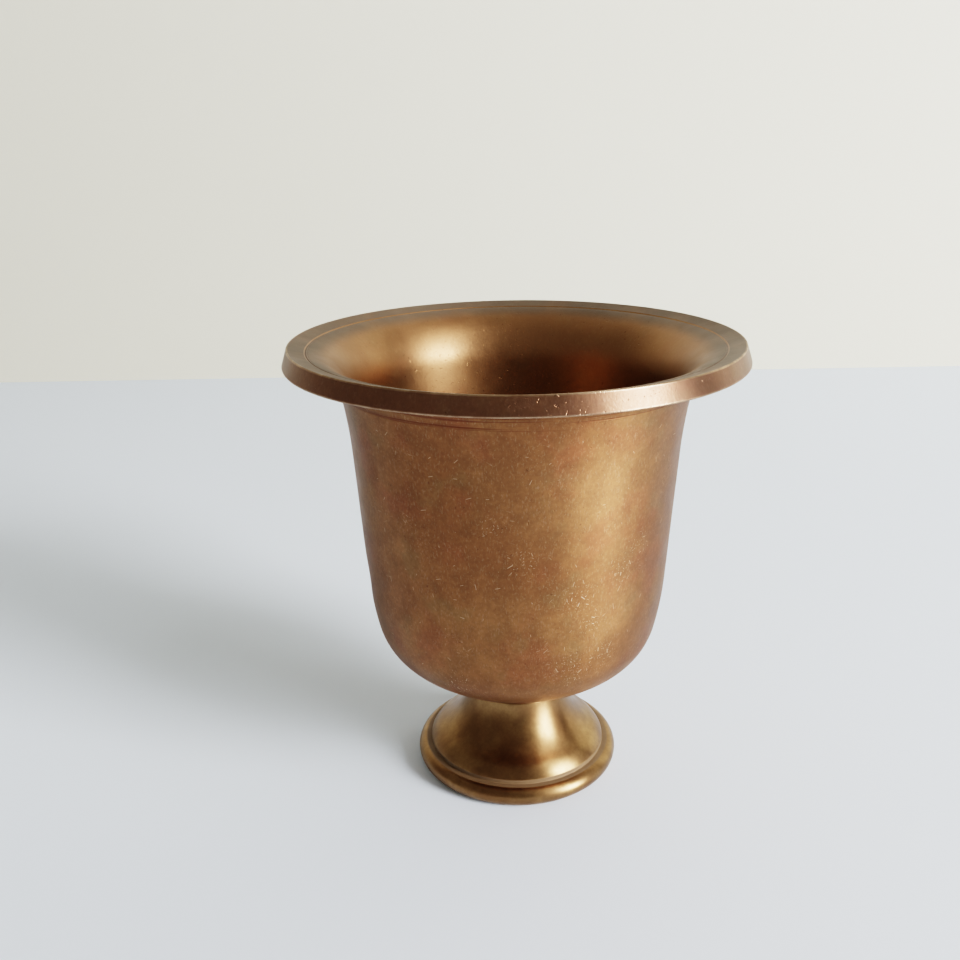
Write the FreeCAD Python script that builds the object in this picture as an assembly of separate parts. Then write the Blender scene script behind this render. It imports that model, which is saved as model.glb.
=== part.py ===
"""A footed brass cup that holds pens: a cast and lathe-turned bell-shaped bowl on a hollow trumpet foot.

The two castings meet at the foot's neck. A spigot under the bowl drops into a socket in the neck, and a
threaded stud pulls the two together: it is screwed into a blind hole in the spigot, passes through the web
below the socket, and takes a washer and a hex nut inside the hollow of the foot. Nothing on the cup moves.

The axis is Z, and the origin is the centre of the foot's resting plane. All lengths are in millimetres and
all angles in degrees. A lean or a flare is an angle off the axis.
"""

import FreeCAD
import Part

import math
import os

# ---- driving dimensions ----
HEIGHT = 94.0              # resting plane to the upper edge of the rim
RIM_RADIUS = 45.25         # lower edge of the rim's band, the widest place of the cup
RIM_TOP_RADIUS = 44.1      # upper edge of the band
FOOT_RADIUS = 21.9         # widest place of the bead round the foot
WALL = 2.0                 # thickness of the bowl's wall

# ---- rim of the bowl ----
BAND_HEIGHT = 3.6          # the sloping band round the rim
BAND_EDGE = 0.25           # rounding of the band's two edges
DISH_ANGLE = 15.0          # how far the rim's upper face falls towards the bowl
DISH_RADIUS = 40.0         # where that face ends and the bell of the mouth begins
BELL_RADIUS = 11.6         # section of the bell
RING_RADIUS = 40.6         # a fine ring scribed in the face
RING_WIDTH = 0.5
RING_DEPTH = 0.2

# ---- outside of the bowl, from the rim down ----
FLARE_LEAN = 12.0          # at the top of the gentle flare below the rim
FLARE_RADIUS = 95.0
STRAIGHT_TOP_RADIUS = 32.85
STRAIGHT_TOP_Z = 72.4
STRAIGHT_FOOT_Z = 45.8
STRAIGHT_LEAN = 3.9
HAUNCH_RADIUS = 70.0       # the slow turn above the bowl's shoulder
HAUNCH_LEAN = 13.0         # where the slow turn ends
SHOULDER_RADIUS = 13.7     # the tight turn
SHOULDER_LEAN = 54.4       # where the tight turn ends
BELLY_RADIUS = 68.5        # the shallow underside
FLOOR_Z = 21.6             # the flat pad turned on the floor inside

# ---- joint between the bowl and the foot ----
SEAT_Z = 18.2              # the bowl's seat on the foot
SEAT_RADIUS = 9.0
SEAM_GAP = 0.7             # gap round the seat, between the bowl's underside and the foot
SPIGOT_RADIUS = 6.0
SPIGOT_LENGTH = 4.5
SOCKET_RADIUS = 6.1
SOCKET_DEPTH = 4.9
WEB = 3.0                  # the foot's web, under the socket
WEB_HOLE_RADIUS = 3.3

# ---- M6 stud, washer and hex nut ----
STUD_RADIUS = 3.0
STUD_HOLE_TOP_Z = 19.8     # end of the stud's blind hole in the spigot
STUD_TOP_Z = 19.4
STUD_FOOT_Z = 3.0
STUD_CHAMFER = 0.6
WASHER_RADIUS = 6.0
WASHER_HOLE_RADIUS = 3.2
WASHER_THICKNESS = 1.2
NUT_ACROSS_FLATS = 10.0
NUT_HEIGHT = 5.0
NUT_CORNER_DROP = 0.55     # height of the chamfer on the nut's corners

# ---- foot ----
NECK_RADIUS = 10.1
NECK_EDGE = 0.5            # broken edge round the top of the neck
NECK_FLARE = 8.0           # how far the trumpet opens at its top
TRUMPET_RADIUS = 14.2      # the trumpet's hollow curve
TRUMPET_FLARE = 58.0       # where the hollow curve ends and the full one begins
FULL_RADIUS = 6.35         # the trumpet's full curve
FULL_FLARE = 25.0          # where the full curve ends, in a crisp edge
BEAD_TOP_Z = 4.1           # the ledge below that edge
BEAD_RADIUS = 2.05         # the bead's shoulder, above its widest place
BEAD_UNDER_RADIUS = 2.0    # the bead below its widest place
BEAD_UNDER_LEAN = 60.0     # where the bead's underside ends
REST_RADIUS = 20.6         # outer edge of the resting ring
HOLLOW_MOUTH_RADIUS = 17.4
HOLLOW_TOP_RADIUS = 9.6
HOLLOW_LIP = 1.5           # height of the upright wall at the mouth of the hollow


class Outline:
    """A closed outline in the XZ plane, where X is the radius. It is drawn by a pen that has a heading.

    Heading 0 is straight down, 90 is towards the axis, 180 is straight up and -90 is outwards.
    """

    def __init__(self, radius, z):
        self.start = FreeCAD.Vector(radius, 0, z)
        self.pen = self.start
        self.heading = 0.0
        self.edges = []

    def to(self, radius, z):
        """Draw a straight line to a point."""
        end = FreeCAD.Vector(radius, 0, z)
        self.edges.append(Part.LineSegment(self.pen, end).toShape())
        self.heading = math.degrees(math.atan2(self.pen.x - end.x, self.pen.z - end.z))
        self.pen = end

    def turn(self, radius, heading):
        """Draw an arc that carries on from the present heading up to a new one."""
        middle = self.pen + arc_travel(radius, self.heading, (self.heading + heading) / 2)
        end = self.pen + arc_travel(radius, self.heading, heading)
        self.edges.append(Part.Arc(self.pen, middle, end).toShape())
        self.heading = heading
        self.pen = end

    def round_corner(self, radius, z, rounding, heading):
        """Draw a straight line towards a corner, and round the corner off into a new heading."""
        towards = math.atan2(self.pen.x - radius, self.pen.z - z)
        setback = rounding * math.tan((math.radians(heading) - towards) / 2)
        self.to(radius + setback * math.sin(towards), z + setback * math.cos(towards))
        self.turn(rounding, heading)

    def revolve(self):
        """Close the outline and turn it about the axis into a solid."""
        self.to(self.start.x, self.start.z)
        face = Part.Face(Part.Wire(self.edges))
        return face.revolve(FreeCAD.Vector(0, 0, 0), FreeCAD.Vector(0, 0, 1), 360)


def arc_travel(radius, before, after):
    """How far the pen moves along an arc between two headings."""
    run = math.copysign(radius, after - before)
    before = math.radians(before)
    after = math.radians(after)
    return FreeCAD.Vector(
        run * (math.cos(after) - math.cos(before)),
        0,
        run * (math.sin(before) - math.sin(after)),
    )


def cylinder(radius, z_low, z_high):
    """A plain cylinder on the axis."""
    return Part.makeCylinder(radius, z_high - z_low, FreeCAD.Vector(0, 0, z_low))


def rim_face_z(radius):
    """Height of the rim's dished upper face."""
    return HEIGHT - (RIM_TOP_RADIUS - radius) * math.tan(math.radians(DISH_ANGLE))


def draw_wall(outline, inset, z_end):
    """Draw the wall's straight part and everything below it, down to a height under the belly.

    The inset is the distance inside the bowl's outer surface.
    """
    lean = math.radians(STRAIGHT_LEAN)
    foot_radius = STRAIGHT_TOP_RADIUS - (STRAIGHT_TOP_Z - STRAIGHT_FOOT_Z) * math.tan(lean)
    outline.to(foot_radius - inset * math.cos(lean), STRAIGHT_FOOT_Z + inset * math.sin(lean))
    outline.turn(HAUNCH_RADIUS - inset, HAUNCH_LEAN)
    outline.turn(SHOULDER_RADIUS - inset, SHOULDER_LEAN)
    belly = BELLY_RADIUS - inset
    end_sine = math.sin(math.radians(SHOULDER_LEAN)) + (outline.pen.z - z_end) / belly
    outline.turn(belly, math.degrees(math.asin(end_sine)))


def make_bowl():
    """The bowl, with its rim, its spigot and the stud's blind hole."""
    underside_z = HEIGHT - BAND_HEIGHT
    flare_top = FreeCAD.Vector(STRAIGHT_TOP_RADIUS, 0, STRAIGHT_TOP_Z)
    flare_top = flare_top - arc_travel(FLARE_RADIUS, FLARE_LEAN, STRAIGHT_LEAN)
    fillet = (underside_z - flare_top.z) / (1 - math.sin(math.radians(FLARE_LEAN)))
    band_lean = math.degrees(math.atan2(RIM_TOP_RADIUS - RIM_RADIUS, BAND_HEIGHT))

    outside = Outline(0, rim_face_z(0))
    outside.round_corner(RIM_TOP_RADIUS, HEIGHT, BAND_EDGE, band_lean)
    outside.round_corner(RIM_RADIUS, underside_z, BAND_EDGE, 90.0)
    outside.to(flare_top.x + fillet * math.cos(math.radians(FLARE_LEAN)), underside_z)
    outside.turn(fillet, FLARE_LEAN)
    outside.turn(FLARE_RADIUS, STRAIGHT_LEAN)
    draw_wall(outside, 0.0, SEAT_Z + SEAM_GAP)
    outside.to(SEAT_RADIUS, SEAT_Z + SEAM_GAP)
    outside.to(SEAT_RADIUS, SEAT_Z)
    outside.to(SPIGOT_RADIUS, SEAT_Z)
    outside.to(SPIGOT_RADIUS, SEAT_Z - SPIGOT_LENGTH)
    outside.to(0, SEAT_Z - SPIGOT_LENGTH)

    inside = Outline(0, HEIGHT)
    inside.to(DISH_RADIUS, HEIGHT)
    inside.to(DISH_RADIUS, rim_face_z(DISH_RADIUS))
    inside.heading = 90.0 - DISH_ANGLE
    inside.turn(BELL_RADIUS, STRAIGHT_LEAN)
    draw_wall(inside, WALL, FLOOR_Z)
    inside.to(0, FLOOR_Z)

    ring = Outline(RING_RADIUS, rim_face_z(RING_RADIUS) - RING_DEPTH)
    ring.to(RING_RADIUS - RING_WIDTH / 2, rim_face_z(RING_RADIUS) + RING_DEPTH)
    ring.to(RING_RADIUS + RING_WIDTH / 2, rim_face_z(RING_RADIUS) + RING_DEPTH)

    stud_hole = cylinder(STUD_RADIUS, SEAT_Z - SPIGOT_LENGTH, STUD_HOLE_TOP_Z)
    return outside.revolve().cut([inside.revolve(), ring.revolve(), stud_hole])


def make_foot():
    """The trumpet foot, with its socket, its web and the hollow below them."""
    web_z = SEAT_Z - SOCKET_DEPTH - WEB
    outside = Outline(0, SEAT_Z)
    outside.to(NECK_RADIUS - NECK_EDGE, SEAT_Z)
    outside.to(NECK_RADIUS, SEAT_Z - NECK_EDGE)
    outside.heading = -NECK_FLARE
    outside.turn(TRUMPET_RADIUS, -TRUMPET_FLARE)
    outside.turn(FULL_RADIUS, -FULL_FLARE)
    outside.to(outside.pen.x, BEAD_TOP_Z)
    outside.to(FOOT_RADIUS - BEAD_RADIUS, BEAD_TOP_Z)
    outside.turn(BEAD_RADIUS, 0.0)
    outside.turn(BEAD_UNDER_RADIUS, BEAD_UNDER_LEAN)
    outside.to(REST_RADIUS, 0)
    outside.to(0, 0)

    hollow = Outline(0, 0)
    hollow.to(HOLLOW_MOUTH_RADIUS, 0)
    hollow.to(HOLLOW_MOUTH_RADIUS, HOLLOW_LIP)
    hollow.to(HOLLOW_TOP_RADIUS, web_z)
    hollow.to(0, web_z)

    socket = cylinder(SOCKET_RADIUS, SEAT_Z - SOCKET_DEPTH, SEAT_Z)
    web_hole = cylinder(WEB_HOLE_RADIUS, web_z, SEAT_Z - SOCKET_DEPTH)
    return outside.revolve().cut([hollow.revolve(), socket, web_hole])


def make_stud():
    """The stud, as a plain rod of the thread's outer diameter with chamfered ends."""
    rod = Outline(0, STUD_TOP_Z)
    rod.to(STUD_RADIUS - STUD_CHAMFER, STUD_TOP_Z)
    rod.to(STUD_RADIUS, STUD_TOP_Z - STUD_CHAMFER)
    rod.to(STUD_RADIUS, STUD_FOOT_Z + STUD_CHAMFER)
    rod.to(STUD_RADIUS - STUD_CHAMFER, STUD_FOOT_Z)
    rod.to(0, STUD_FOOT_Z)
    return rod.revolve()


def make_washer():
    """The washer, flat against the web."""
    top_z = SEAT_Z - SOCKET_DEPTH - WEB
    low_z = top_z - WASHER_THICKNESS
    return cylinder(WASHER_RADIUS, low_z, top_z).cut(cylinder(WASHER_HOLE_RADIUS, low_z, top_z))


def make_nut():
    """The hex nut, with its corners chamfered at both ends."""
    top_z = SEAT_Z - SOCKET_DEPTH - WEB - WASHER_THICKNESS
    low_z = top_z - NUT_HEIGHT
    corner = NUT_ACROSS_FLATS / math.sqrt(3)
    points = []
    for i in range(7):
        angle = math.radians(60 * i)
        points.append(FreeCAD.Vector(corner * math.cos(angle), corner * math.sin(angle), low_z))
    hexagon = Part.Face(Part.makePolygon(points)).extrude(FreeCAD.Vector(0, 0, NUT_HEIGHT))

    flat = NUT_ACROSS_FLATS / 2 * 0.96
    barrel = Outline(0, top_z)
    barrel.to(flat, top_z)
    barrel.to(corner, top_z - NUT_CORNER_DROP)
    barrel.to(corner, low_z + NUT_CORNER_DROP)
    barrel.to(flat, low_z)
    barrel.to(0, low_z)
    return hexagon.common(barrel.revolve()).cut(cylinder(STUD_RADIUS, low_z, top_z))


PIECES = {
    "bowl": make_bowl,
    "foot": make_foot,
    "joint_stud": make_stud,
    "washer": make_washer,
    "hex_nut": make_nut,
}

os.makedirs("parts", exist_ok=True)
for name, make in PIECES.items():
    shape = make()
    shape.exportStep("parts/" + name + ".step")
    box = shape.BoundBox
    print(name, shape.ShapeType, len(shape.Solids), shape.isValid(), round(shape.Volume), box)
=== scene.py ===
"""The looks of the footed brass pen cup.

Lengths are written in millimetres in the part's own frame, and the meshes are made in metres. Headings,
leans and other angles are in degrees.
"""

import math

import bpy
import numpy as np
from mathutils import Matrix, Vector


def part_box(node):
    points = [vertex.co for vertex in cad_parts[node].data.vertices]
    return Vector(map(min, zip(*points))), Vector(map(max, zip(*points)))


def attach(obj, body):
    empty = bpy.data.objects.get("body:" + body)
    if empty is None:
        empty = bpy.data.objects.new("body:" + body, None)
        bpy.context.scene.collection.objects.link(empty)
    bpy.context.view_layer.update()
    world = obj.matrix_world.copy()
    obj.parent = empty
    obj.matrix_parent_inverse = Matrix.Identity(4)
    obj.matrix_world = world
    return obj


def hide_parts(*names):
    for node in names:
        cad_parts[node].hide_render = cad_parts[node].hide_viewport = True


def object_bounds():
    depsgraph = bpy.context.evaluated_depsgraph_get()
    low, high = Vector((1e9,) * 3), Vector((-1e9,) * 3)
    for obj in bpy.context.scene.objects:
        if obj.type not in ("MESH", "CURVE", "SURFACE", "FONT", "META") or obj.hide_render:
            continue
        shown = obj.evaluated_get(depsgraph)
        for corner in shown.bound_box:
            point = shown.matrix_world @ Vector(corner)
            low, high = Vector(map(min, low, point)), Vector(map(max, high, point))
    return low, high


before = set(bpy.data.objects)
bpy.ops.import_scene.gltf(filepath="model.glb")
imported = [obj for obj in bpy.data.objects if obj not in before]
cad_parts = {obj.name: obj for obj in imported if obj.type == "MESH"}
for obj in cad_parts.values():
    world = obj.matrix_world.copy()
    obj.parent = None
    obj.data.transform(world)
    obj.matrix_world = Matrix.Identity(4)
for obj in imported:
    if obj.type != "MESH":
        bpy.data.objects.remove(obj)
cad_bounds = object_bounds()

MM = 0.001


def heights(node):
    """The lowest and highest point of a node, in millimetres."""
    low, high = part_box(node)
    return low[2] / MM, high[2] / MM


SPIGOT_Z, _ = heights("bowl")
_, SEAT_Z = heights("foot")
WASHER_Z, WEB_Z = heights("washer")
NUT_Z, NUT_TOP_Z = heights("hex_nut")
STUD_Z, STUD_TOP_Z = heights("joint_stud")

# ---- the rim ----
HEIGHT = 94.0
RIM_RADIUS = 45.25
RIM_TOP_RADIUS = 44.1
BAND_HEIGHT = 3.6
BAND_Z = HEIGHT - BAND_HEIGHT
BAND_EDGE = 0.25
DISH_ANGLE = 15.0
DISH_RADIUS = 40.0
BELL_RADIUS = 11.6
RING_RADIUS = 40.6
RING_DEPTH = 0.16
FAINT_RING_RADIUS = RING_RADIUS - 0.42
FAINT_RING_DEPTH = 0.03
FACE_EDGE_RADIUS = RING_RADIUS + 0.9

# ---- the bowl's wall: a flare, a straight stretch, and three arcs of growing lean ----
WALL = 2.0
FLARE_RADIUS = 95.0
FLARE_LEAN = 12.0
STRAIGHT_TOP_RADIUS = 32.85
STRAIGHT_TOP_Z = 72.4
STRAIGHT_FOOT_Z = 45.8
STRAIGHT_LEAN = 3.9
SIDE_RADIUS = 70.0
SIDE_LEAN = 13.0
HIP_RADIUS = 13.7
HIP_LEAN = 54.4
BELLY_RADIUS = 68.5
FLOOR_Z = 21.6
WALL_MIDDLE_RADIUS = 32.0

# ---- the joint in the neck ----
SEAT_RADIUS = 9.0
SEAT_STEP = 0.7
SPIGOT_RADIUS = 6.0
STUD_HOLE_RADIUS = 3.0
STUD_HOLE_TOP_Z = 19.8
SOCKET_RADIUS = 6.1
SOCKET_DEPTH = 4.9
WEB_HOLE_RADIUS = 3.3

# ---- the foot ----
FOOT_RADIUS = 21.9
NECK_RADIUS = 10.1
NECK_EDGE = 0.5
NECK_LEAN = -8.0
TRUMPET_RADIUS = 14.2
TRUMPET_LEAN = -58.0
SHOULDER_RADIUS = 6.35
SHOULDER_LEAN = -25.0
STEP_Z = 4.1
STEP_EDGE = 0.12
STEP_CORNER = 0.15
BEAD_RADIUS = 2.05
BEAD_FOOT_RADIUS = 2.0
BEAD_FOOT_LEAN = 60.0
REST_RADIUS = 20.6
MOUTH_RADIUS = 17.4
MOUTH_Z = 1.5
WEB_RADIUS = 9.6


class Outline:
    """Points of an outline in the XZ plane, where X is the radius. It is drawn by a pen with a heading.

    Heading 0 is straight down, 90 is towards the axis, 180 is straight up and -90 is outwards.
    """

    def __init__(self, radius, z, step=0.8):
        self.points = [(radius, z)]
        self.heading = 0.0
        self.step = step

    @property
    def pen(self):
        return self.points[-1]

    def to(self, radius, z, ends=0.0):
        """Draw a straight line. Its ends get a close pair of points when `ends` says how close."""
        x0, z0 = self.pen
        length = math.hypot(radius - x0, z - z0)
        count = max(1, round(length / self.step))
        spots = [i / count for i in range(1, count + 1)]
        if ends and length > 3 * ends:
            spots = sorted(spots + [ends / length, 1 - ends / length])
        for t in spots:
            self.points.append((x0 + t * (radius - x0), z0 + t * (z - z0)))
        self.heading = math.degrees(math.atan2(x0 - radius, z0 - z))

    def turn(self, radius, heading, most=8.0):
        """Draw an arc up to a new heading, with at most so many degrees between points."""
        x0, z0 = self.pen
        swing = heading - self.heading
        run = math.copysign(radius, swing)
        length = radius * math.radians(abs(swing))
        count = max(2, math.ceil(abs(swing) / most), round(length / self.step))
        before = math.radians(self.heading)
        for i in range(1, count + 1):
            after = math.radians(self.heading + swing * i / count)
            self.points.append((
                x0 + run * (math.cos(after) - math.cos(before)),
                z0 + run * (math.sin(before) - math.sin(after)),
            ))
        self.heading = heading

    def round_corner(self, radius, z, rounding, heading):
        """Draw a line towards a corner, and round the corner off into a new heading."""
        x0, z0 = self.pen
        towards = math.atan2(x0 - radius, z0 - z)
        setback = rounding * math.tan((math.radians(heading) - towards) / 2)
        self.to(radius + setback * math.sin(towards), z + setback * math.cos(towards), rounding / 2)
        self.turn(rounding, heading, most=18.0)


def rim_face_z(radius):
    """Height of the rim's dished upper face."""
    return HEIGHT - (RIM_TOP_RADIUS - radius) * math.tan(math.radians(DISH_ANGLE))


def draw_wall(outline, inset, z_end):
    """Draw the wall's straight part and the arcs below it, at an inset from the wall's outside."""
    lean = math.radians(STRAIGHT_LEAN)
    foot_radius = STRAIGHT_TOP_RADIUS - (STRAIGHT_TOP_Z - STRAIGHT_FOOT_Z) * math.tan(lean)
    outline.to(foot_radius - inset * math.cos(lean), STRAIGHT_FOOT_Z + inset * math.sin(lean))
    outline.turn(SIDE_RADIUS - inset, SIDE_LEAN)
    outline.turn(HIP_RADIUS - inset, HIP_LEAN)
    belly = BELLY_RADIUS - inset
    end_sine = math.sin(math.radians(HIP_LEAN)) + (outline.pen[1] - z_end) / belly
    outline.turn(belly, math.degrees(math.asin(end_sine)))


def bowl_outline():
    """The bowl's closed outline, from the middle of its floor, over the rim, to the spigot's end."""
    top = math.radians(FLARE_LEAN)
    foot = math.radians(STRAIGHT_LEAN)
    flare_top_radius = STRAIGHT_TOP_RADIUS + FLARE_RADIUS * (math.cos(foot) - math.cos(top))
    flare_top_z = STRAIGHT_TOP_Z + FLARE_RADIUS * (math.sin(top) - math.sin(foot))
    fillet = (BAND_Z - flare_top_z) / (1 - math.sin(top))
    band_lean = math.degrees(math.atan2(RIM_TOP_RADIUS - RIM_RADIUS, BAND_HEIGHT))

    outside = Outline(FACE_EDGE_RADIUS, rim_face_z(FACE_EDGE_RADIUS), step=0.7)
    outside.round_corner(RIM_TOP_RADIUS, HEIGHT, BAND_EDGE, band_lean)
    outside.round_corner(RIM_RADIUS, BAND_Z, BAND_EDGE, 90.0)
    outside.to(flare_top_radius + fillet * math.cos(top), BAND_Z, 0.3)
    outside.step = 0.14
    outside.turn(fillet, FLARE_LEAN)
    outside.step = 0.8
    outside.turn(FLARE_RADIUS, STRAIGHT_LEAN)
    draw_wall(outside, 0.0, SEAT_Z + SEAT_STEP)
    outside.to(SEAT_RADIUS, SEAT_Z + SEAT_STEP)
    outside.to(SEAT_RADIUS, SEAT_Z, 0.05)
    outside.to(SPIGOT_RADIUS, SEAT_Z, 0.1)
    outside.to(SPIGOT_RADIUS, SPIGOT_Z, 0.1)
    outside.to(STUD_HOLE_RADIUS, SPIGOT_Z, 0.1)
    outside.to(STUD_HOLE_RADIUS, STUD_HOLE_TOP_Z, 0.1)
    outside.to(0.0, STUD_HOLE_TOP_Z)

    inside = Outline(DISH_RADIUS, rim_face_z(DISH_RADIUS), step=0.8)
    inside.heading = 90.0 - DISH_ANGLE
    inside.turn(BELL_RADIUS, STRAIGHT_LEAN)
    inside.step = 1.2
    draw_wall(inside, WALL, FLOOR_Z)
    inside.to(0.0, FLOOR_Z, 0.1)

    # the rim's face, with its scribed ring and a fainter one just inside that
    face = []
    for radius in np.arange(DISH_RADIUS + 0.07, FACE_EDGE_RADIUS, 0.07):
        ring = RING_DEPTH * math.exp(-(((radius - RING_RADIUS) / 0.13) ** 2))
        faint = FAINT_RING_DEPTH * math.exp(-(((radius - FAINT_RING_RADIUS) / 0.08) ** 2))
        face.append((radius, rim_face_z(radius) - ring - faint))
    return inside.points[::-1] + face + outside.points


def foot_outline():
    """The foot's closed outline, from the inside of the socket, over the trumpet, to the web's hole."""
    socket_z = SEAT_Z - SOCKET_DEPTH
    o = Outline(WEB_HOLE_RADIUS, socket_z, step=0.5)
    o.to(SOCKET_RADIUS, socket_z)
    o.to(SOCKET_RADIUS, SEAT_Z, 0.1)
    o.to(NECK_RADIUS - NECK_EDGE, SEAT_Z, 0.1)
    o.to(NECK_RADIUS, SEAT_Z - NECK_EDGE, 0.05)
    o.heading = NECK_LEAN
    o.turn(TRUMPET_RADIUS, TRUMPET_LEAN)
    o.turn(SHOULDER_RADIUS, SHOULDER_LEAN)
    o.turn(STEP_EDGE, 0.0, most=9.0)
    o.to(o.pen[0], STEP_Z + STEP_CORNER, 0.05)
    o.turn(STEP_CORNER, -90.0, most=18.0)
    o.to(FOOT_RADIUS - BEAD_RADIUS, o.pen[1], 0.1)
    o.turn(BEAD_RADIUS, 0.0, most=6.0)
    o.turn(BEAD_FOOT_RADIUS, BEAD_FOOT_LEAN, most=6.0)
    o.to(REST_RADIUS, 0.0, 0.1)
    o.to(MOUTH_RADIUS, 0.0, 0.1)
    o.to(MOUTH_RADIUS, MOUTH_Z, 0.1)
    o.to(WEB_RADIUS, WEB_Z, 0.2)
    o.to(WEB_HOLE_RADIUS, WEB_Z, 0.1)
    o.to(WEB_HOLE_RADIUS, socket_z, 0.1)
    return o.points[:-1]


def add_mesh(name, points, faces):
    """A smooth-shaded mesh object, from its points in metres and its faces."""
    mesh = bpy.data.meshes.new(name)
    mesh.from_pydata([tuple(p) for p in points], [], faces)
    mesh.update()
    mesh.shade_smooth()
    piece = bpy.data.objects.new(name, mesh)
    bpy.context.collection.objects.link(piece)
    return piece


def turned(name, outline, segments, warp=None):
    """A piece turned about the axis from an outline that starts and ends on the axis, or closes on itself.

    The warp takes the angle, radius and height of every point, in radians and millimetres, and gives how
    far each point moves outwards.
    """
    radius = np.array([p[0] for p in outline])
    height = np.array([p[1] for p in outline])
    on_axis = radius[0] < 1e-6
    around = np.arange(segments) * (2 * math.pi / segments)
    rows = slice(1, -1) if on_axis else slice(None)
    angle, r = np.meshgrid(around, radius[rows], indexing="xy")
    z = np.repeat(height[rows][:, None], segments, axis=1)
    if warp is not None:
        r = r + warp(angle, r, z)
    points = np.stack([r * np.cos(angle), r * np.sin(angle), z], axis=-1).reshape(-1, 3)
    count = r.shape[0]
    faces = []
    # the rows of an outline that closes on itself join up again at its end
    for i in range(count - 1 if on_axis else count):
        low = i * segments
        high = (i + 1) % count * segments
        for j in range(segments):
            k = (j + 1) % segments
            faces.append((low + j, high + j, high + k, low + k))
    if on_axis:
        first = len(points)
        last = first + 1
        points = np.vstack([points, [(0, 0, height[0]), (0, 0, height[-1])]])
        end = (count - 1) * segments
        for j in range(segments):
            k = (j + 1) % segments
            faces.append((first, j, k))
            faces.append((last, end + k, end + j))
    return add_mesh(name, points * MM, faces)


def bowl_warp(angle, r, z):
    """The bowl is a little out of round, and has a shallow dent low in its left wall."""
    waves = 0.05 * (np.cos(2 * angle + 0.7) - 1) + 0.03 * (np.cos(5 * angle + z / 15) - 1)
    on_wall = np.clip((r - 20) / 6, 0, 1) * np.clip((90 - z) / 8, 0.25, 1)
    round_left = (angle - math.radians(186)) * 31 / 4.5
    dent = -0.28 * np.exp(-(round_left ** 2) - ((z - 45.5) / 3.6) ** 2)
    return waves * on_wall + dent * (r > 24)


def threaded_rod(name, low, high, crest, root, pitch, segments=48, rows_per_turn=12):
    """A rod with a helical thread between two heights, chamfered at both ends."""
    rows = int(round((high - low) / pitch * rows_per_turn))
    points = []
    for i in range(rows + 1):
        z = low + (high - low) * i / rows
        end = min(z - low, high - z)
        for j in range(segments):
            angle = 2 * math.pi * j / segments
            phase = (z / pitch - j / segments) % 1.0
            tooth = 1 - abs(2 * phase - 1)
            radius = root + (crest - root) * min(1.0, max(0.0, 1.6 * tooth - 0.2))
            radius = min(radius, crest - 0.7 + end)
            points.append((radius * math.cos(angle), radius * math.sin(angle), z))
    faces = []
    for i in range(rows):
        for j in range(segments):
            k = (j + 1) % segments
            a = i * segments
            b = a + segments
            faces.append((a + j, a + k, b + k, b + j))
    bottom = len(points)
    points.append((0, 0, low))
    points.append((0, 0, high))
    top = rows * segments
    for j in range(segments):
        k = (j + 1) % segments
        faces.append((bottom, k, j))
        faces.append((bottom + 1, top + j, top + k))
    return add_mesh(name, np.array(points) * MM, faces)


def washer_outline(inner, outer, low, high, edge=0.15):
    """A flat ring's closed outline, with its outer edges rounded as a punched washer's are."""
    o = Outline(inner, low + edge, step=0.4)
    o.to(inner, high - edge)
    o.to(inner + edge, high)
    o.round_corner(outer, high, edge, 0.0)
    o.round_corner(outer, low, edge, 90.0)
    o.to(inner + edge, low)
    return o.points


def hex_nut(name, low, high, across_flats, hole, drop):
    """A hex nut whose corners are chamfered at both ends, with a countersunk hole."""
    corner = across_flats / math.sqrt(3)
    flat = across_flats / 2
    face_edge = 0.96 * flat
    countersink = 0.5
    steps = 24
    side = []
    for i in range(6 * steps):
        angle = 2 * math.pi * i / (6 * steps)
        within = (angle + math.pi / 6) % (math.pi / 3) - math.pi / 6
        side.append((angle, flat / math.cos(math.pi / 6 - abs(within))))
    slope = drop / (corner - face_edge)
    rings = []
    for height, towards in ((low, 1), (high, -1)):
        rings.append([(hole, height + towards * countersink) for _ in side])
        rings.append([(hole + countersink, height) for _ in side])
        rings.append([(0.93 * flat, height) for _ in side])
        rings.append([(face_edge, height + towards * 0.01) for _ in side])
        rings.append([(r - 0.03, height + towards * (slope * (r - face_edge) - 0.01)) for _, r in side])
        rings.append([(r, height + towards * (slope * (r - face_edge) + 0.05)) for _, r in side])
    order = rings[:6] + rings[6:][::-1]
    points = []
    for ring in order:
        points += [(r * math.cos(a), r * math.sin(a), z) for (a, _), (r, z) in zip(side, ring)]
    count = len(side)
    faces = []
    for i in range(len(order)):
        a = i * count
        b = (i + 1) % len(order) * count
        for j in range(count):
            k = (j + 1) % count
            faces.append((a + j, a + k, b + k, b + j))
    return add_mesh(name, np.array(points) * MM, faces)


bowl = turned("bowl_shell", bowl_outline(), 288, bowl_warp)
foot = turned("foot_shell", foot_outline(), 240)
stud = threaded_rod("stud_thread", STUD_Z, STUD_TOP_Z, crest=2.97, root=2.4, pitch=1.0)
washer = turned("washer_plate", washer_outline(3.2, 6.0, WASHER_Z, WEB_Z), 96)
nut = hex_nut("nut_body", NUT_Z, NUT_TOP_Z, across_flats=10.0, hole=3.0, drop=0.55)

for piece, node, slot in (
    (bowl, "bowl", "bowl_brass"),
    (foot, "foot", "foot_brass"),
    (stud, "joint_stud", "plated_steel"),
    (washer, "washer", "plated_steel"),
    (nut, "hex_nut", "plated_steel"),
):
    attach(piece, "root")
    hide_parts(node)


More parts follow.
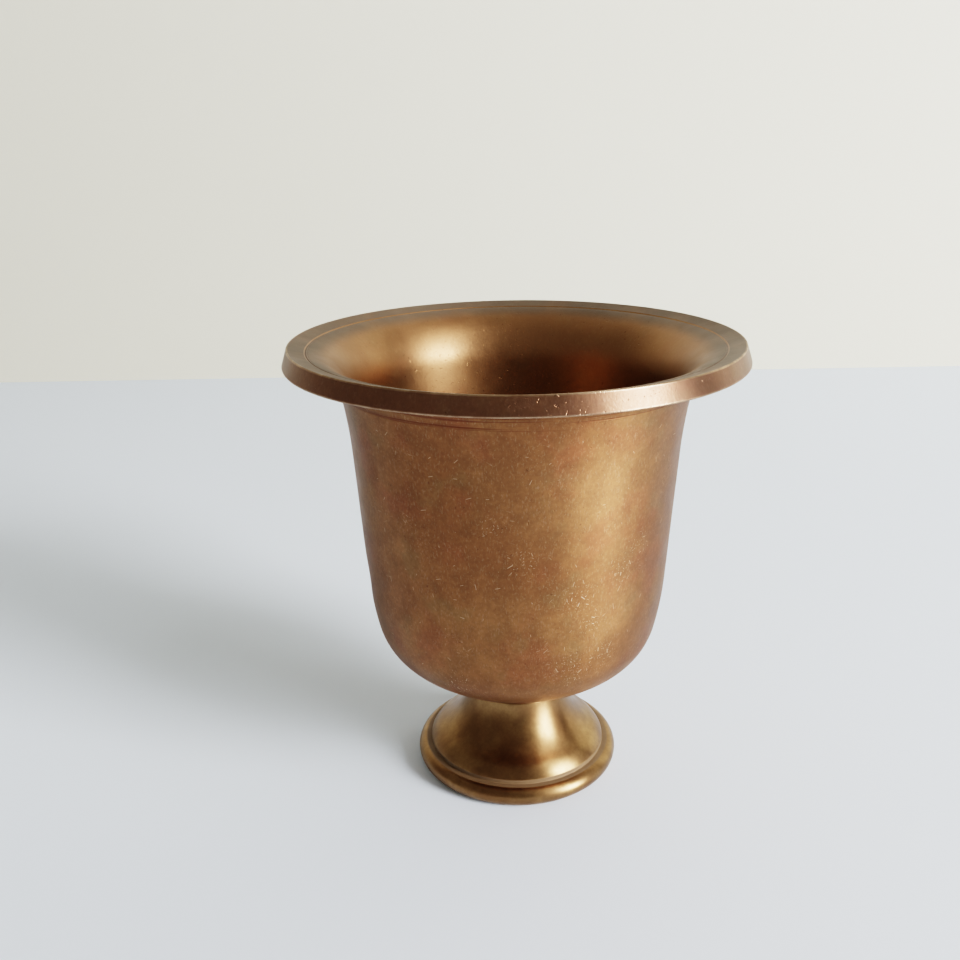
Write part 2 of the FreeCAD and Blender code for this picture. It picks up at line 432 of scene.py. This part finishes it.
# ---- materials ----
BOWL_BROWN = (0.232, 0.103, 0.044)
BOWL_LIGHT = (0.275, 0.131, 0.056)
BOWL_RED = (0.250, 0.090, 0.043)
BOWL_OLIVE = (0.224, 0.136, 0.062)
BOWL_DARK = (0.085, 0.037, 0.018)
BOWL_INSIDE = (0.320, 0.178, 0.090)
BOWL_BAND = (0.165, 0.092, 0.072)
BOWL_FILM = (0.100, 0.092, 0.078)
BOWL_LINES = (0.110, 0.030, 0.014)
BOWL_BRIGHT = (0.800, 0.600, 0.400)
# the wall's scratched patches, in millimetres: across from the front, height, radius
RUBBED_PATCHES = (
    (0.0, 60, 3.5),
    (-5.5, 67, 2.5),
    (10.5, 52, 4.0),
    (20.0, 56, 3.5),
    (24.0, 60, 3.0),
    (14.0, 46, 3.0),
    (10.0, 36, 5.0),
    (17.0, 38, 4.0),
    (-14.0, 32, 4.0),
)
FOOT_BROWN = (0.217, 0.120, 0.056)
FOOT_LIGHT = (0.284, 0.170, 0.080)
FOOT_DARK = (0.105, 0.053, 0.026)
FOOT_DUST = (0.150, 0.100, 0.060)
ZINC_DULL = (0.50, 0.48, 0.43)
ZINC_CLEAN = (0.62, 0.61, 0.58)
ZINC_STAIN = (0.30, 0.19, 0.11)
QUARTER_TURN = 0.25


class Shader:
    """A material's node tree, with short calls for the nodes used here."""

    def __init__(self, name):
        self.material = bpy.data.materials.new(name)
        self.material.use_nodes = True
        self.tree = self.material.node_tree
        self.bsdf = self.tree.nodes["Principled BSDF"]
        coordinates = self.tree.nodes.new("ShaderNodeTexCoord")
        self.place = coordinates.outputs["Object"]
        self.x, self.y, self.z = self.split(self.place)
        self.facing = coordinates.outputs["Normal"]

    def put(self, value, socket):
        """Give a socket a link or a plain value."""
        if isinstance(value, bpy.types.NodeSocket):
            self.tree.links.new(value, socket)
        elif isinstance(value, tuple) and len(value) == 3 and socket.type == "RGBA":
            socket.default_value = (*value, 1.0)
        else:
            socket.default_value = value

    def math(self, operation, a, b=0.0):
        node = self.tree.nodes.new("ShaderNodeMath")
        node.operation = operation
        self.put(a, node.inputs[0])
        self.put(b, node.inputs[1])
        return node.outputs[0]

    def add(self, a, b):
        return self.math("ADD", a, b)

    def times(self, a, b):
        return self.math("MULTIPLY", a, b)

    def ramp(self, value, low, high, to_low=0.0, to_high=1.0):
        """A smooth step between two values."""
        node = self.tree.nodes.new("ShaderNodeMapRange")
        node.interpolation_type = "SMOOTHSTEP"
        self.put(value, node.inputs["Value"])
        self.put(low, node.inputs["From Min"])
        self.put(high, node.inputs["From Max"])
        self.put(to_low, node.inputs["To Min"])
        self.put(to_high, node.inputs["To Max"])
        return node.outputs["Result"]

    def step(self, value, low, high):
        """A smooth step from 0 to 1 between two lengths in millimetres."""
        return self.ramp(value, low * MM, high * MM)

    def mix(self, factor, a, b):
        """A blend of two colours."""
        node = self.tree.nodes.new("ShaderNodeMix")
        node.data_type = "RGBA"
        self.put(factor, node.inputs["Factor"])
        self.put(a, node.inputs[6])
        self.put(b, node.inputs[7])
        return node.outputs[2]

    def scaled(self, vector, factor):
        """A vector times a plain number."""
        node = self.tree.nodes.new("ShaderNodeVectorMath")
        node.operation = "SCALE"
        node.inputs["Scale"].default_value = factor
        self.put(vector, node.inputs[0])
        return node.outputs[0]

    def split(self, vector):
        """The three parts of a vector."""
        node = self.tree.nodes.new("ShaderNodeSeparateXYZ")
        self.put(vector, node.inputs[0])
        return node.outputs

    def vector(self, x, y, z):
        node = self.tree.nodes.new("ShaderNodeCombineXYZ")
        for value, socket in zip((x, y, z), node.inputs):
            self.put(value, socket)
        return node.outputs[0]

    def noise(self, size, detail=3.0, stretch=(1.0, 1.0, 1.0), place=None, shift=0.0, rough=0.55):
        """Noise with blotches of about this size in millimetres."""
        mapping = self.tree.nodes.new("ShaderNodeMapping")
        self.put(place or self.place, mapping.inputs["Vector"])
        mapping.inputs["Location"].default_value = (shift, shift * 0.7, -shift)
        mapping.inputs["Scale"].default_value = tuple(1 / (size * MM * s) for s in stretch)
        node = self.tree.nodes.new("ShaderNodeTexNoise")
        node.inputs["Scale"].default_value = 1.0
        node.inputs["Detail"].default_value = detail
        node.inputs["Roughness"].default_value = rough
        self.put(mapping.outputs[0], node.inputs["Vector"])
        return node.outputs["Fac"]

    def polar(self, radius):
        """The radius of a point, and its place on the surface unrolled at a radius in millimetres."""
        distance = self.math("SQRT", self.add(self.times(self.x, self.x), self.times(self.y, self.y)))
        behind = self.math("ARCTAN2", self.x, self.times(self.y, -1.0))
        return distance, self.times(behind, radius * MM)

    def outwards(self):
        """How much a surface faces away from the axis, from -1 to 1, and how much it faces up."""
        distance, _ = self.polar(1.0)
        x, y, up = self.split(self.facing)
        across = self.add(self.times(x, self.x), self.times(y, self.y))
        return self.math("DIVIDE", across, distance), up

    def scratches(self, along, cell, length, width, keep, shift):
        """Short straight scratches, one in each kept cell, in random directions, from 0 to 1.

        The cell, length and width are in millimetres, and keep is the share of the cells that have one.
        """
        spot = self.vector(self.add(along, shift * MM), self.add(self.z, shift * 1.7 * MM), 0.0)
        cells = self.tree.nodes.new("ShaderNodeTexVoronoi")
        cells.voronoi_dimensions = "2D"
        cells.inputs["Scale"].default_value = 1 / (cell * MM)
        cells.inputs["Randomness"].default_value = 0.8
        self.put(spot, cells.inputs["Vector"])
        away = self.tree.nodes.new("ShaderNodeVectorMath")
        away.operation = "SUBTRACT"
        self.put(self.scaled(spot, 1 / (cell * MM)), away.inputs[0])
        self.put(self.scaled(cells.outputs["Position"], 1 / (cell * MM)), away.inputs[1])
        across, upwards, _ = self.split(away.outputs[0])
        chance = self.tree.nodes.new("ShaderNodeSeparateColor")
        self.put(cells.outputs["Color"], chance.inputs[0])
        direction, choice, size = chance.outputs
        turn = self.times(direction, 2 * math.pi)
        cosine = self.math("COSINE", turn)
        sine = self.math("SINE", turn)
        run = self.add(self.times(across, cosine), self.times(upwards, sine))
        off = self.math("SUBTRACT", self.times(upwards, cosine), self.times(across, sine))
        thin = self.ramp(self.math("ABSOLUTE", off), width / cell * 0.25, width / cell, 1.0, 0.0)
        reach = self.times(size, length / cell)
        short = self.ramp(self.math("ABSOLUTE", run), self.times(reach, 0.6), reach, 1.0, 0.0)
        kept = self.ramp(choice, 1.0 - keep, 1.001 - keep)
        return self.times(self.times(thin, short), kept)

    def bump(self, height, distance, onto=None):
        """Raise the surface by up to a distance in millimetres."""
        node = self.tree.nodes.new("ShaderNodeBump")
        node.inputs["Strength"].default_value = 1.0
        node.inputs["Distance"].default_value = distance * MM
        self.put(height, node.inputs["Height"])
        if onto is not None:
            self.put(onto, node.inputs["Normal"])
        return node.outputs["Normal"]

    def finish(self, colour, roughness, normal, **plain):
        """Set up metal turned on a lathe: its fine grooves stretch highlights along the outline."""
        around = self.tree.nodes.new("ShaderNodeTangent")
        around.direction_type = "RADIAL"
        around.axis = "Z"
        self.put(around.outputs[0], self.bsdf.inputs["Tangent"])
        self.bsdf.inputs["Anisotropic Rotation"].default_value = QUARTER_TURN
        self.put(colour, self.bsdf.inputs["Base Color"])
        self.put(roughness, self.bsdf.inputs["Roughness"])
        self.put(normal, self.bsdf.inputs["Normal"])
        if not self.bsdf.inputs["Metallic"].is_linked:
            self.bsdf.inputs["Metallic"].default_value = 1.0
        for name, value in plain.items():
            self.bsdf.inputs[name.replace("_", " ").title()].default_value = value
        return self.material


def bowl_material():
    """Old brass under a mottled brown patina, rubbed bright and with painted highlights on the rim's
    edges, and scratched on the wall.
    """
    s = Shader("bowl_brass")
    radius, along = s.polar(WALL_MIDDLE_RADIUS)
    unrolled = s.vector(along, s.z, 0.0)
    outwards, up = s.outwards()

    colour = s.mix(s.ramp(s.noise(22, 3), 0.40, 0.62), BOWL_BROWN, BOWL_LIGHT)
    red = s.ramp(s.noise(12, 3, shift=3.1), 0.50, 0.68)
    colour = s.mix(s.times(red, 0.60), colour, BOWL_RED)
    olive = s.ramp(s.noise(9, 3, shift=7.7), 0.54, 0.70)
    colour = s.mix(s.times(olive, 0.45), colour, BOWL_OLIVE)
    cloud = s.noise(4.5, 4, shift=1.3, rough=0.6)
    colour = s.mix(s.ramp(cloud, 0.36, 0.60, 0.22, 0.0), colour, BOWL_DARK)
    fine = s.noise(0.7, 2, shift=5.3)
    colour = s.mix(s.ramp(fine, 0.35, 0.65, 0.20, 0.0), colour, BOWL_DARK)
    brushed = s.noise(0.28, 2, stretch=(1.0, 2.5, 1.0), place=unrolled, shift=4.4)
    colour = s.mix(s.ramp(brushed, 0.52, 0.78, 0.0, 0.10), colour, BOWL_BRIGHT)

    inside = s.ramp(outwards, 0.0, -0.35)
    colour = s.mix(s.times(inside, 0.6), colour, BOWL_INSIDE)

    # a grey film on the rim's upper face and the top of the flare
    film = s.times(s.ramp(up, 0.80, 0.96), s.ramp(s.noise(9, 4, shift=2.4), 0.30, 0.60, 0.75, 1.0))
    colour = s.mix(s.times(film, 0.70), colour, BOWL_FILM)
    # turning lines under the rim
    lines = s.ramp(s.noise(0.42, 2, stretch=(90.0, 90.0, 1.0), shift=0.6), 0.50, 0.62)
    under = s.times(s.step(s.z, BAND_Z - 5.6, BAND_Z - 4.8), s.step(s.z, BAND_Z - 1.8, BAND_Z - 2.8))
    lines = s.times(s.times(lines, under), s.ramp(outwards, 0.1, 0.4))
    colour = s.mix(s.times(lines, 0.7), colour, BOWL_LINES)

    band = s.times(s.step(s.z, BAND_Z - 0.1, BAND_Z + 0.2),
                   s.step(radius, RIM_TOP_RADIUS - 0.1, RIM_TOP_RADIUS + 0.1))
    colour = s.mix(s.times(band, 0.5), colour, BOWL_BAND)

    # thin bright lines along the rim's two edges: partly wear, partly painted highlight
    upper = s.times(s.step(s.z, HEIGHT - 0.4, HEIGHT - 0.2),
                    s.step(radius, RIM_TOP_RADIUS - 0.4, RIM_TOP_RADIUS - 0.2))
    lower = s.times(s.step(s.z, BAND_Z + 0.5, BAND_Z + 0.2),
                    s.step(radius, RIM_RADIUS - 0.45, RIM_RADIUS - 0.25))
    patchy = s.ramp(s.noise(2.5, 3, shift=5.0), 0.35, 0.6)
    edge_wear_and_highlight = s.times(s.math("MAXIMUM", upper, lower), s.add(s.times(patchy, 0.6), 0.4))
    # painted highlight mixed with wear: bright colour along the rim's edges
    colour = s.mix(s.times(edge_wear_and_highlight, 0.32), colour, BOWL_BRIGHT)

    flecks = s.scratches(along, cell=1.5, length=0.68, width=0.085, keep=0.42, shift=0.0)
    nicks = s.scratches(along, cell=0.65, length=0.26, width=0.050, keep=0.60, shift=11.0)
    strays = s.scratches(along, cell=3.4, length=0.8, width=0.070, keep=0.20, shift=23.0)
    rubbed = s.times(s.ramp(s.noise(9, 3, place=unrolled, shift=2.0), 0.50, 0.68), 0.35)
    for across, height, size in RUBBED_PATCHES:
        sideways = s.add(along, -across * MM)
        upwards = s.add(s.z, -height * MM)
        away = s.math("SQRT", s.add(s.times(sideways, sideways), s.times(upwards, upwards)))
        patch = s.step(away, 1.3 * size, 0.3 * size)
        rubbed = s.math("MAXIMUM", rubbed, patch)
    marks = s.times(s.math("MAXIMUM", flecks, s.times(nicks, 0.7)), rubbed)
    marks = s.math("MAXIMUM", marks, s.times(strays, 0.55))
    marks = s.times(s.times(marks, s.step(s.z, BAND_Z - 2.4, BAND_Z - 8.4)), s.ramp(outwards, 0.0, 0.3))
    colour = s.mix(s.times(marks, 0.75), colour, BOWL_BRIGHT)

    stain = s.ramp(s.noise(0.8, 2, shift=9.0), 0.68, 0.76)
    colour = s.mix(s.times(stain, 0.5), colour, BOWL_DARK)

    rough = s.ramp(s.noise(6, 4, shift=4.0), 0.3, 0.7, 0.43, 0.51)
    rough = s.add(rough, s.times(inside, -0.05))
    rough = s.add(rough, s.times(band, -0.08))
    rough = s.add(rough, s.times(film, 0.14))
    rough = s.add(rough, s.times(marks, -0.12))
    rough = s.add(rough, s.times(edge_wear_and_highlight, -0.10))

    grain = s.add(s.noise(0.5, 3), s.times(s.noise(2.2, 3, shift=2.2), 1.5))
    normal = s.bump(grain, 0.014)
    pits = s.ramp(s.noise(0.55, 1, shift=6.0), 0.68, 0.80)
    cut = s.add(s.times(marks, -0.5), s.times(lines, -1.0))
    normal = s.bump(s.add(s.times(pits, -1.0), cut), 0.03, normal)
    return s.finish(colour, rough, normal, specular_tint=(0.8, 0.8, 0.8, 1.0), coat_weight=0.14,
                    coat_roughness=0.38, anisotropic=0.5)


def foot_material():
    """Smoother and yellower brass, with darker clouds and a little dust."""
    s = Shader("foot_brass")
    radius, _ = s.polar(FOOT_RADIUS)
    colour = s.mix(s.ramp(s.noise(9, 3), 0.4, 0.65), FOOT_BROWN, FOOT_LIGHT)
    cloud = s.noise(3.0, 4, shift=1.3)
    colour = s.mix(s.ramp(cloud, 0.36, 0.60, 0.25, 0.0), colour, FOOT_DARK)
    fine = s.noise(0.6, 2, shift=3.3)
    colour = s.mix(s.ramp(fine, 0.35, 0.65, 0.15, 0.0), colour, FOOT_DARK)
    # dust has settled in the step above the bead
    dust = s.times(s.step(s.z, STEP_Z + 1.0, STEP_Z + 0.7), s.step(s.z, STEP_Z - 0.5, STEP_Z - 0.1))
    dust = s.times(dust, s.step(radius, FOOT_RADIUS - 3.2, FOOT_RADIUS - 2.9))
    dust = s.times(dust, s.step(radius, FOOT_RADIUS - 1.5, FOOT_RADIUS - 1.9))
    colour = s.mix(s.times(dust, 0.7), colour, FOOT_DUST)
    rough = s.ramp(s.noise(4, 4, shift=4.0), 0.3, 0.7, 0.30, 0.37)
    rough = s.add(rough, s.times(dust, 0.3))
    s.put(s.ramp(dust, 0.0, 1.0, 1.0, 0.35), s.bsdf.inputs["Metallic"])
    lathe = s.noise(0.35, 2, stretch=(60, 60, 1.0))
    normal = s.bump(s.add(s.noise(0.8, 3), s.times(lathe, 0.4)), 0.008)
    return s.finish(colour, rough, normal, coat_weight=0.06, coat_roughness=0.35, anisotropic=0.45)


def steel_material():
    """Dull zinc plate, a little stained."""
    s = Shader("plated_steel")
    colour = s.mix(s.ramp(s.noise(2.5, 3), 0.4, 0.65), ZINC_DULL, ZINC_CLEAN)
    colour = s.mix(s.ramp(s.noise(1.2, 4, shift=2.0), 0.58, 0.72, 0.0, 0.7), colour, ZINC_STAIN)
    rough = s.ramp(s.noise(1.0, 3, shift=4.0), 0.3, 0.7, 0.32, 0.48)
    return s.finish(colour, rough, s.bump(s.noise(0.4, 3), 0.01))


bowl.data.materials.append(bowl_material())
foot.data.materials.append(foot_material())
steel = steel_material()
for piece in (stud, washer, nut):
    piece.data.materials.append(steel)


# ---- floor, wall, light and camera ----
def plain(name, colour, roughness):
    """A matt material of one colour, for the floor and the wall."""
    material = bpy.data.materials.new(name)
    material.use_nodes = True
    bsdf = material.node_tree.nodes["Principled BSDF"]
    bsdf.inputs["Base Color"].default_value = (*colour, 1.0)
    bsdf.inputs["Roughness"].default_value = roughness
    return material


def sheet(name, corners, material):
    """A flat part of the stage, from its corners in metres."""
    piece = add_mesh(name, corners, [tuple(range(len(corners)))])
    piece.data.materials.append(material)


# the stage's places and sizes are in metres
GROUND = cad_bounds[0][2]
WALL_Y = 0.36
WALL_TOP = 0.6
FAR = 3.0
left_corner = (-FAR, WALL_Y, GROUND)
right_corner = (FAR, WALL_Y, GROUND)
sheet("floor", [(-FAR, -FAR, GROUND), (FAR, -FAR, GROUND), right_corner, left_corner],
      plain("white_cloth", (0.73, 0.81, 0.93), 0.9))
sheet("wall", [left_corner, right_corner, (FAR, WALL_Y, WALL_TOP), (-FAR, WALL_Y, WALL_TOP)],
      plain("cream_paint", (0.62, 0.60, 0.51), 0.9))


def soft_light(name, azimuth, elevation, distance, width, height, power, colour):
    """A soft light that faces the bowl. Its azimuth is measured from the front, towards the right."""
    light = bpy.data.lights.new(name, "AREA")
    light.shape = "RECTANGLE"
    light.size = width
    light.size_y = height
    light.energy = power
    light.color = colour
    lamp = bpy.data.objects.new(name, light)
    bpy.context.collection.objects.link(lamp)
    a = math.radians(azimuth)
    e = math.radians(elevation)
    towards = Vector((math.sin(a) * math.cos(e), -math.cos(a) * math.cos(e), math.sin(e)))
    lamp.location = LIT_POINT + distance * towards
    lamp.rotation_euler = towards.to_track_quat("Z", "Y").to_euler()


LIT_POINT = Vector((0, 0, 0.05))
DAYLIGHT = (1.0, 0.985, 0.96)
LAMPLIGHT = (1.0, 0.95, 0.86)
soft_light("window", 58.0, 15.0, distance=1.3, width=0.42, height=0.80, power=33.0, colour=DAYLIGHT)
soft_light("window_top", 58.0, 48.0, distance=1.3, width=0.30, height=0.60, power=2.5, colour=DAYLIGHT)
soft_light("ceiling", 150.0, 75.0, distance=1.6, width=2.4, height=2.4, power=2.5, colour=LAMPLIGHT)

world = bpy.data.worlds.new("room")
world.use_nodes = True
background = world.node_tree.nodes["Background"]
background.inputs["Color"].default_value = (1.0, 0.94, 0.82, 1.0)
background.inputs["Strength"].default_value = 0.21
bpy.context.scene.world = world

CAMERA_PLACE = (-0.00728, -0.1914, 0.1328)
CAMERA_DIP = 19.64
CAMERA_ROLL = -0.99
SENSOR_WIDTH_MM = 36.0
LENS_MM = 37.125
camera_data = bpy.data.cameras.new("camera")
camera_data.sensor_width = SENSOR_WIDTH_MM
camera_data.lens = LENS_MM
camera_data.clip_start = 0.01
camera = bpy.data.objects.new("camera", camera_data)
bpy.context.collection.objects.link(camera)
tilt = Matrix.Rotation(math.radians(90.0 - CAMERA_DIP), 4, "X")
roll = Matrix.Rotation(math.radians(CAMERA_ROLL), 4, "Z")
camera.matrix_world = Matrix.Translation(CAMERA_PLACE) @ tilt @ roll
bpy.context.scene.camera = camera

bpy.context.scene.view_settings.view_transform = "Filmic"
bpy.context.scene.view_settings.look = "High Contrast"
bpy.context.scene.view_settings.exposure = 0.28
